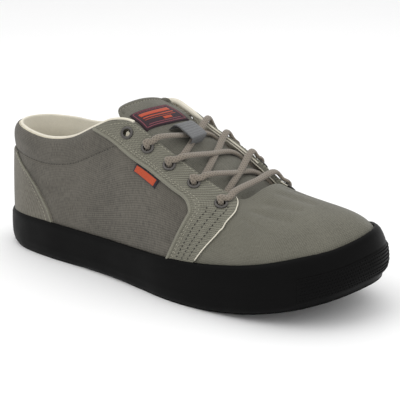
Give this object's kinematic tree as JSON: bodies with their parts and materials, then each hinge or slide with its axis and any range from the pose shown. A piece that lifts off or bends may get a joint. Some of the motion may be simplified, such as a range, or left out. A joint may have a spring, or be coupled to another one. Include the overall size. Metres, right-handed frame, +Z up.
{
  "type": "sneaker",
  "caption": "Low canvas sneaker with a padded collar, laced open throat, tongue, and a flat sole wrapped in a rubber band that springs up at the toe.",
  "frame": {"origin": "on the floor, in the middle of the shoe's length and width", "axes": "+X along the shoe towards the toe, +Y towards the inner (medial) side, +Z up"},
  "size_m": [0.2888, 0.105, 0.1119],
  "materials": {
    "canvas": "warm grey cotton canvas, plain weave, matt",
    "counter_canvas": "the same canvas a shade darker, matt",
    "tongue_canvas": "lighter grey canvas over foam, matt",
    "lining": "cream cotton drill over foam",
    "insole_cover": "cream cotton drill on a foam sock",
    "midsole_foam": "buff sponge filler, hidden",
    "outsole_rubber": "black vulcanised rubber",
    "foxing_rubber": "black vulcanised rubber tape, semi-matt",
    "eyelet_metal": "dark gunmetal, satin",
    "lace_cotton": "warm grey braided cotton",
    "woven_label": "dark plum woven label with plain orange stripes",
    "tape": "dark grey woven tape",
    "side_tag": "orange woven tag with a dark edge"
  },
  "bodies": {
    "root": {"outsole": "outsole_rubber", "midsole": "midsole_foam", "insole": "insole_cover", "foxing": "foxing_rubber", "toe_bumper": "foxing_rubber", "upper": "canvas", "heel_counter": "counter_canvas", "collar_padding": "lining", "tongue": "tongue_canvas", "tongue_label": "woven_label", "tongue_loop": "tape", "side_tag": "side_tag", "eyestay_lateral": "canvas", "eyestay_medial": "canvas", "eyelet_lateral_1": "eyelet_metal", "eyelet_lateral_2": "eyelet_metal", "eyelet_lateral_3": "eyelet_metal", "eyelet_lateral_4": "eyelet_metal", "eyelet_lateral_5": "eyelet_metal", "eyelet_medial_1": "eyelet_metal", "eyelet_medial_2": "eyelet_metal", "eyelet_medial_3": "eyelet_metal", "eyelet_medial_4": "eyelet_metal", "eyelet_medial_5": "eyelet_metal", "lace_bar": "lace_cotton", "lace_cross_low": "lace_cotton", "lace_cross_mid": "lace_cotton", "lace_cross_top": "lace_cotton"}
  },
  "joints": []
}
